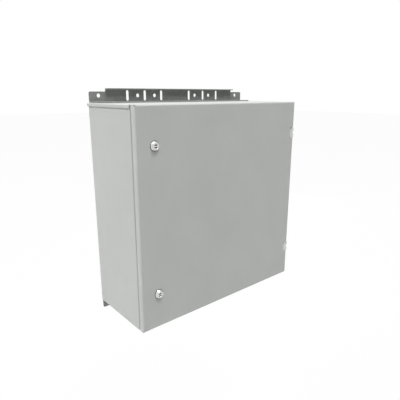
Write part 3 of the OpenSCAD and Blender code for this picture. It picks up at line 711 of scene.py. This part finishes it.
def bead_tree():
    """A seal poured along a rectangle with round corners: flat where it sticks to the door, domed
    on top."""
    new, given = new_tree("Width", "Height", "Corner", "Bead width", "Bead height", "Base")
    path = new("GeometryNodeCurvePrimitiveQuadrilateral", {
        "Width": given["Width"], "Height": given["Height"]})
    rounded = new("GeometryNodeFilletCurve", {
        "Curve": path, "Radius": given["Corner"], "Count": BEAD_CORNER_STEPS}, mode="POLY")
    level = new("GeometryNodeSetCurveNormal", {"Curve": rounded}, mode="Z_UP")
    circle = new("GeometryNodeCurvePrimitiveCircle", {"Resolution": BEAD_STEPS, "Radius": 1.0})
    place = new("GeometryNodeInputPosition")
    point = new("ShaderNodeSeparateXYZ", {"Vector": place}).outputs
    # The upper half of the circle is the dome, and the lower half is let down to straight sides
    side = new(MATH, (given["Bead width"], 0.5), "MULTIPLY")
    across = new(MATH, (point["X"], side), "MULTIPLY")
    foot = new(MATH, (given["Bead height"], given["Base"]), "MULTIPLY")
    crown = new(MATH, (given["Bead height"], foot), "SUBTRACT")
    dome = new(MATH, (point["Y"], crown, foot), "MULTIPLY_ADD")
    upper = new(MATH, (dome, foot), "MAXIMUM")
    raised = new(MATH, (point["Y"], -0.35), "GREATER_THAN")
    height = new(MATH, (upper, raised), "MULTIPLY")
    # The section's own y points down from the path, so the dome is turned over
    over = new(MATH, (height, -1.0), "MULTIPLY")
    there = new("ShaderNodeCombineXYZ", {"X": across, "Y": over})
    section = new("GeometryNodeSetPosition", {"Geometry": circle, "Position": there})
    bead = new("GeometryNodeCurveToMesh", {"Curve": level, "Profile Curve": section})
    return end_tree(new, given, bead)


def weld_tree():
    """Spot welds: round, with a rim pressed up around a shallow dish."""
    new, given = new_tree("Radius", "Rim")
    radius = given["Radius"]
    disc = new("GeometryNodeMeshCylinder", {
        "Vertices": WELD_STEPS, "Fill Segments": WELD_RINGS, "Radius": radius, "Depth": 0.02 * MM})
    _, share, level = around_axis(new, radius)
    square = new(MATH, (share, 2.0), "POWER")
    swing = new(MATH, (square, math.pi), "MULTIPLY")
    swell = new(MATH, (swing,), "SINE")
    rise = new(MATH, (swell, given["Rim"]), "MULTIPLY")
    above = new(MATH, (level, 0.0), "GREATER_THAN")
    top = new(MATH, (rise, above), "MULTIPLY")
    move = new("ShaderNodeCombineXYZ", {"Z": top})
    spot = new("GeometryNodeSetPosition", {"Geometry": disc, "Offset": move})
    return end_tree(new, given, spot)


def grown(make_tree, name, places, kind, **sizes):
    """Runs a tree on a set of seats and returns an object with the plain mesh that it gives."""
    mesh = bpy.data.meshes.new(name)
    mesh.from_pydata([tuple(seat) for seat, axis in places], [], [])
    axes = mesh.attributes.new("axis", "FLOAT_VECTOR", "POINT")
    axes.data.foreach_set("vector", [c for seat, axis in places for c in axis])
    obj = put(name, mesh, None)
    title = make_tree.__name__
    tree = bpy.data.node_groups.get(title)
    if tree is None:
        tree = make_tree()
        tree.name = title
    modifier = obj.modifiers.new(title, "NODES")
    modifier.node_group = tree
    values = dict(sizes, Material=finish_of(kind))
    for item in tree.interface.items_tree:
        key = item.name.replace(" ", "_")
        if item.in_out == "INPUT" and key in values:
            modifier[item.identifier] = values[key]
    plain_mesh(obj, name)
    if not obj.data.polygons:
        raise RuntimeError(f"{name} came out empty")
    return obj


def welded_up(name, objects, crease):
    """Joins the meshes of like pieces into one object with smooth walls and sharp edges."""
    bm = bmesh.new()
    material = objects[0].data.materials[0]
    for obj in objects:
        mesh = obj.data
        bm.from_mesh(mesh)
        bpy.data.objects.remove(obj)
        bpy.data.meshes.remove(mesh)
    bmesh.ops.remove_doubles(bm, verts=bm.verts, dist=PIECE_GAP)
    bmesh.ops.recalc_face_normals(bm, faces=bm.faces)
    mesh = creased(name, bm, crease)
    if "axis" in mesh.attributes:
        mesh.attributes.remove(mesh.attributes["axis"])
    return put(name, mesh, material)


def fasteners(node, name, parts, crease):
    """Hands over zinc-plated fasteners, welded up from their parts, for a CAD node."""
    hand_over(welded_up(name, parts, crease), node)


def nuts(node, name, axis, flats, bore):
    """Hexagons with a bore, in place of the solids of a CAD node."""
    hexagons = grown(hex_tree, "hexagons", seats(node, axis), "zinc",
                     Flats=flats, Height=length_along(node, axis), Bore=bore)
    fasteners(node, name, [hexagons], HEX_CREASE)


class CABINET_OT_sheet_metal(Operator):
    """Coated body, roof, door and gland plate with softened edges"""

    bl_idname = "cabinet.sheet_metal"
    bl_label = "Sheet metal"

    def execute(self, context):
        edge = context.scene.cabinet_detail.sheet_edge
        low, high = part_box("door_panel")
        corners = [Vector((x, low.y, z)) for x in (low.x, high.x) for z in (low.z, high.z)]
        softened("body_shell", "coated_body", "paint", edge)
        softened("roof_cap", "coated_roof", "paint", edge)
        softened("door_panel", "coated_door", "paint", edge, corners)
        softened("gland_plate", "coated_gland_plate", "paint", edge)
        return {"FINISHED"}


class CABINET_OT_brackets(Operator):
    """Galvanised brackets with their punched edges eased"""

    bl_idname = "cabinet.brackets"
    bl_label = "Brackets"

    def execute(self, context):
        edge = context.scene.cabinet_detail.bracket_edge
        for level in ("upper", "lower"):
            softened(f"{level}_bracket", f"galvanised_{level}_bracket", "galvanised",
                     edge)
        return {"FINISHED"}


class CABINET_OT_hinges(Operator):
    """Hinge leaves and pins with cast edges"""

    bl_idname = "cabinet.hinges"
    bl_label = "Hinges"

    def execute(self, context):
        edge = context.scene.cabinet_detail.cast_edge
        for level in ("upper", "lower"):
            for leaf in ("frame_leaf", "door_leaf"):
                softened(f"{level}_hinge_{leaf}", f"cast_{level}_{leaf}", "hinge",
                         edge)
            softened(f"{level}_hinge_pin", f"rounded_{level}_pin", "zinc", edge)
        return {"FINISHED"}


class CABINET_OT_locks(Operator):
    """Quarter-turn locks: nickel heads and cores, cams and their screws, seals and nuts"""

    bl_idname = "cabinet.locks"
    bl_label = "Locks"

    def execute(self, context):
        edge = context.scene.cabinet_detail.cast_edge
        for level in ("upper", "lower"):
            lock = f"{level}_lock"
            self.housing(level)
            core = softened(f"{lock}_core", f"nickel_{level}_core", "nickel", edge / 2)
            # Painted shade: the key socket's walls and bottom get a dark grey material
            self.dull_socket(core, level)
            softened(f"{lock}_cam", f"pressed_{level}_cam", "zinc", edge)
            softened(f"{lock}_screw", f"plated_{level}_cam_screw", "zinc",
                     edge / 2)
            softened(f"{lock}_seal", f"soft_{lock}_seal", "foam", edge / 2)
            nuts(f"{lock}_nut", f"flat_{lock}_nut", TO_WALL, LOCK_NUT_FLATS, 2 * BARREL_R + PLAY)
        return {"FINISHED"}

    def housing(self, level):
        """Polished head with a rolled edge, and a barrel whose thread is drawn as rings."""
        node = f"{level}_lock_housing"
        low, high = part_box(node)
        core_low, core_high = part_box(f"{level}_lock_core")
        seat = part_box(f"{level}_lock_seal")[0].y
        thread_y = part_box(f"{level}_lock_nut")[0].y
        head_r = (high.x - low.x) / 2
        bore_r = (core_high.x - core_low.x) / 2 + CORE_PLAY
        # Radius, y and rounding of each corner, from the core's hole over the head to the barrel
        corners = [
            (bore_r, low.y, 0.3 * MM),
            (head_r - 3 * MM, low.y, 1.5 * MM),
            (head_r, seat - 0.9 * MM, 1.2 * MM),
            (head_r, seat, 0.2 * MM),
            (BARREL_R, seat, 0),
        ]
        for i in range(int((high.y - thread_y) / BARREL_PITCH)):
            corners.append((BARREL_R, thread_y + BARREL_PITCH * (i + 0.25), 0))
            corners.append((ROOT_R, thread_y + BARREL_PITCH * (i + 0.75), 0))
        corners += [
            (ROOT_R, high.y, 0.2 * MM),
            (SHAFT_R, high.y, 0.2 * MM),
            (SHAFT_R, low.y + CORE_DEPTH, 0),
            (bore_r, low.y + CORE_DEPTH, 0),
        ]
        head = turned(f"nickel_{level}_housing", (low + high) / 2, corners, "nickel")
        hand_over(head, node)

    def dull_socket(self, core, level):
        """Paints shade into the key socket: its walls and bottom get a dark grey material in place
        of the shade that falls there.
        """
        low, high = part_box(f"{level}_lock_core")
        middle = (low + high) / 2
        core.data.materials.append(finish_of("socket"))
        for face in core.data.polygons:
            out = math.hypot(face.center.x - middle.x, face.center.z - middle.z)
            deep = face.center.y - low.y
            # Painted shade: faces inside the socket, below its mouth, take the dark grey
            if out < SOCKET_R and SOCKET_MOUTH < deep < SOCKET_DEPTH:
                face.material_index = 1


class CABINET_OT_seals(Operator):
    """Poured door seal, gland seal and sealing washers"""

    bl_idname = "cabinet.seals"
    bl_label = "Seals"

    def execute(self, context):
        detail = context.scene.cabinet_detail
        low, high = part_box("door_gasket")
        size = high - low
        seat = Vector(((low.x + high.x) / 2, low.y, (low.z + high.z) / 2))
        bead = grown(bead_tree, "bead", [(seat, TO_WALL)], "foam", Width=size.x - BEAD_W,
                     Height=size.z - BEAD_W, Corner=BEAD_CORNER, Bead_width=BEAD_W,
                     Bead_height=size.y, Base=detail.bead_base)
        hand_over(welded_up("poured_door_seal", [bead], ROUND_CREASE), "door_gasket")
        softened("gland_gasket", "cut_gland_seal", "foam", detail.foam_edge)
        node = "bracket_seal_washers"
        rings = grown(ring_tree, "rings", seats(node, inward), "foam", Outside=18 * MM,
                      Bore=9 * MM, Height=length_along(node, UP), Edge=0.7 * MM)
        hand_over(welded_up("sealing_washers", [rings], ROUND_CREASE), node)
        return {"FINISHED"}


class CABINET_OT_nuts(Operator):
    """Flange nuts, plain nuts and hexagon spacers"""

    bl_idname = "cabinet.nuts"
    bl_label = "Nuts and spacers"

    def execute(self, context):
        node = "bracket_nuts"
        places = seats(node, inward)
        hexagons = grown(hex_tree, "hexagons", places, "zinc", Flats=FLATS[M8],
                         Height=length_along(node, UP), Bore=M8 + PLAY)
        flanges = grown(ring_tree, "flanges", places, "zinc", Outside=17 * MM, Bore=M8 + PLAY,
                        Height=1.5 * MM, Edge=0.5 * MM)
        fasteners(node, "flange_nuts", [hexagons, flanges], HEX_CREASE)
        for node, name, axis, thread in (
            ("plate_spacers", "hexagon_spacers", TO_FRONT, M6),
            ("gland_nuts", "gland_hexagon_nuts", UP, M6),
            ("body_earth_nut", "body_earth_hexagon", TO_LEFT, M8),
            ("door_earth_nut", "door_earth_hexagon", TO_WALL, M8),
            ("hinge_screw_nuts", "frame_leaf_nuts", TO_WALL, M5),
            ("hinge_stud_nuts", "door_leaf_nuts", TO_WALL, M5),
        ):
            nuts(node, name, axis, FLATS[thread], thread + PLAY)
        return {"FINISHED"}


class CABINET_OT_threads(Operator):
    """Studs and screws with rolled threads"""

    bl_idname = "cabinet.threads"
    bl_label = "Studs and screws"

    def execute(self, context):
        detail = context.scene.cabinet_detail
        pitches = {M5: detail.m5_pitch, M6: detail.m6_pitch, M8: detail.m8_pitch}
        self.pressed_studs(pitches[M8])
        self.gland_screws(pitches[M6])
        for node, name, axis, thread in (
            ("body_earth_stud", "body_earth_thread", TO_LEFT, M8),
            ("door_earth_stud", "door_earth_thread", TO_WALL, M8),
            ("hinge_studs", "door_leaf_threads", TO_WALL, M5),
            ("plate_studs", "spacer_threads", TO_FRONT, M6),
        ):
            rods = grown(thread_tree, "rods", seats(node, axis), "zinc", Radius=thread / 2,
                         Length=length_along(node, axis), Pitch=pitches[thread])
            fasteners(node, name, [rods], ROUND_CREASE)
        # Diameter of the thread, diameter under the head, height of the head and of its dome
        for node, name, size, under, head_h, dome, pitch in (
            ("hinge_screws", "pan_head_screws", M5, 9.5 * MM, 3 * MM, 1.8 * MM, pitches[M5]),
            ("plate_screws", "countersunk_screws", 5.96 * MM, 5.96 * MM, 2 * MM, 0.0, pitches[M6]),
        ):
            tails = seats(node, TO_FRONT)
            rim = length_along(node, TO_LEFT)
            shank_l = length_along(node, TO_FRONT) - head_h
            heads = [(seat + axis * shank_l, axis) for seat, axis in tails]
            rods = grown(thread_tree, "rods", tails, "zinc", Radius=size / 2, Length=shank_l,
                         Pitch=pitch)
            caps = grown(recess_tree, "caps", heads, "zinc", Rim=rim, Under=under, Height=head_h,
                         Dome=dome, Recess=RECESS_SHARE * rim)
            fasteners(node, name, [rods, caps], ROUND_CREASE)
        return {"FINISHED"}

    def pressed_studs(self, pitch):
        """Studs of the brackets, with their flat heads pressed into the feet."""
        node = "bracket_studs"
        tails = seats(node, lambda middle: -inward(middle))
        parts = []
        # The roof is a sheet thicker than the floor, so its studs are longer
        for side in (1, -1):
            own = [(seat, axis) for seat, axis in tails if axis.z == side]
            reach = [(high - low).z for low, high in solids(node) if (low + high).z * side > 0][0]
            shank_l = reach - PRESSED_HEAD_T
            heads = [(seat + axis * shank_l, axis) for seat, axis in own]
            parts.append(grown(thread_tree, "rods", own, "zinc", Radius=M8 / 2, Length=shank_l,
                               Pitch=pitch))
            parts.append(grown(ring_tree, "heads", heads, "zinc", Outside=PRESSED_HEAD_D,
                               Bore=0.2 * MM, Height=PRESSED_HEAD_T, Edge=0.15 * MM))
        fasteners(node, "pressed_studs", parts, ROUND_CREASE)

    def gland_screws(self, pitch):
        """Hexagon screws that hold the gland plate."""
        node = "gland_screws"
        heads = seats(node, UP)
        shanks = [(seat + axis * GLAND_HEAD_H, axis) for seat, axis in heads]
        rods = grown(thread_tree, "rods", shanks, "zinc", Radius=M6 / 2,
                     Length=length_along(node, UP) - GLAND_HEAD_H, Pitch=pitch)
        caps = grown(hex_tree, "caps", heads, "zinc", Flats=FLATS[M6], Height=GLAND_HEAD_H,
                     Bore=0.0)
        fasteners(node, "gland_hexagon_screws", [rods, caps], SCREW_CREASE)


class CABINET_OT_inside(Operator):
    """Mounting plate, perforated door rails and the spot welds that hold the rails"""

    bl_idname = "cabinet.inside"
    bl_label = "Plate and rails"

    def execute(self, context):
        detail = context.scene.cabinet_detail
        edge = detail.sheet_edge
        softened("mounting_plate", "galvanised_plate", "bright_sheet", edge)
        spots = []
        for side in ("left", "right"):
            rail = f"{side}_door_rail"
            softened(rail, f"galvanised_{side}_rail", "bright_sheet", edge)
            low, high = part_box(rail)
            step = (high.z - low.z) / detail.weld_count
            for x in (low.x + WELD_INSET, high.x - WELD_INSET):
                for i in range(detail.weld_count):
                    place = Vector((x, low.y + RAIL_SHEET, low.z + step * (i + 0.5)))
                    spots.append((place, TO_WALL))
        welds = grown(weld_tree, "spots", spots, "bright_sheet", Radius=detail.weld_d / 2,
                      Rim=detail.weld_rim)
        rail_welds = welded_up("rail_spot_welds", [welds], ROUND_CREASE)
        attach(rail_welds, "door")
        return {"FINISHED"}


class CABINET_OT_stage(Operator):
    """Floor, background, lamps and the camera at the photograph's place"""

    bl_idname = "cabinet.stage"
    bl_label = "Stage"

    def execute(self, context):
        scene = context.scene
        stage = scene.cabinet_stage
        scene.view_settings.view_transform = "Standard"
        self.world(scene, stage.ambient)
        self.floor(cad_bounds[0][2] - stage.floor_drop)
        for name, place, target, size, power in LAMPS:
            data = bpy.data.lights.new(name, "AREA")
            data.size = size
            data.energy = getattr(stage, power)
            self.aim(scene, name, data, place, Vector(target) - Vector(place))
        data = bpy.data.cameras.new("Photograph")
        data.sensor_width = SENSOR_W
        data.sensor_fit = "HORIZONTAL"
        data.lens = stage.lens
        scene.camera = self.aim(scene, "Photograph", data, CAMERA_AT, CAMERA_LOOKS)
        return {"FINISHED"}

    def aim(self, scene, name, data, place, way):
        """A lamp or camera at a place, turned so that it faces along a way."""
        obj = bpy.data.objects.new(name, data)
        obj.location = place
        obj.rotation_euler = way.to_track_quat("-Z", "Y").to_euler()
        scene.collection.objects.link(obj)
        return obj

    def seen(self, new):
        """1 for what the camera sees itself or in metal and glass, 0 for light that falls."""
        ray = new("ShaderNodeLightPath").outputs
        first = new(MATH, (ray["Is Camera Ray"], ray["Is Glossy Ray"]), "MAXIMUM")
        return new(MATH, (first, ray["Is Transmission Ray"]), "MAXIMUM")

    def world(self, scene, ambient):
        """White to the camera, and an even, weak light on everything."""
        scene.world = bpy.data.worlds.new("White studio")
        scene.world.use_nodes = True
        scene.world.node_tree.nodes.clear()
        new = partial(add, scene.world.node_tree)
        level = new("ShaderNodeMapRange", {
            "Value": self.seen(new), "To Min": ambient, "To Max": 1.0})
        light = new("ShaderNodeBackground", {"Color": WHITE, "Strength": level})
        new("ShaderNodeOutputWorld", {"Surface": light})

    def floor(self, level):
        """White to the camera, with enough of the lit surface left in it to keep the shadow."""
        mesh = bpy.data.meshes.new("Floor")
        corners = [(x * FLOOR_REACH, y * FLOOR_REACH, level)
                   for x, y in ((-1, -1), (1, -1), (1, 1), (-1, 1))]
        mesh.from_pydata(corners, [], [(0, 1, 2, 3)])
        material = bpy.data.materials.new("Pale studio floor")
        material.use_nodes = True
        material.node_tree.nodes.clear()
        new = partial(add, material.node_tree)
        lit = new("ShaderNodeBsdfDiffuse", {"Color": FLOOR_TONE})
        white = new("ShaderNodeEmission", {"Color": WHITE, "Strength": 1.0})
        share = new(MATH, (self.seen(new), FLOOR_WHITE_SHARE), "MULTIPLY")
        mixed = new("ShaderNodeMixShader", (share, lit, white))
        new("ShaderNodeOutputMaterial", {"Surface": mixed})
        put("Floor", mesh, material)


STEPS = (
    CABINET_OT_stage,
    CABINET_OT_sheet_metal,
    CABINET_OT_brackets,
    CABINET_OT_hinges,
    CABINET_OT_locks,
    CABINET_OT_seals,
    CABINET_OT_nuts,
    CABINET_OT_threads,
    CABINET_OT_inside,
)
SETTINGS = {
    "cabinet_finish": CabinetFinish,
    "cabinet_detail": CabinetDetail,
    "cabinet_stage": CabinetStage,
}


class CABINET_PT_looks(Panel):
    """Lists the steps that dress the cabinet, and their settings"""

    bl_idname = "CABINET_PT_looks"
    bl_label = "Telecom cabinet"
    bl_space_type = "VIEW_3D"
    bl_region_type = "UI"
    bl_category = "Cabinet"

    def draw(self, context):
        for step in STEPS:
            self.layout.operator(step.bl_idname, text=step.bl_label)
        for name, group in SETTINGS.items():
            column = self.layout.column()
            for prop in group.__annotations__:
                column.prop(getattr(context.scene, name), prop)


def register():
    for name, group in SETTINGS.items():
        bpy.utils.register_class(group)
        setattr(bpy.types.Scene, name, PointerProperty(type=group))
    for step in STEPS:
        bpy.utils.register_class(step)
    bpy.utils.register_class(CABINET_PT_looks)


def unregister():
    bpy.utils.unregister_class(CABINET_PT_looks)
    for step in reversed(STEPS):
        bpy.utils.unregister_class(step)
    for name, group in SETTINGS.items():
        delattr(bpy.types.Scene, name)
        bpy.utils.unregister_class(group)


def main():
    register()
    for step in STEPS:
        group, call = step.bl_idname.split(".")
        getattr(getattr(bpy.ops, group), call)()


if __name__ == "__main__":
    main()
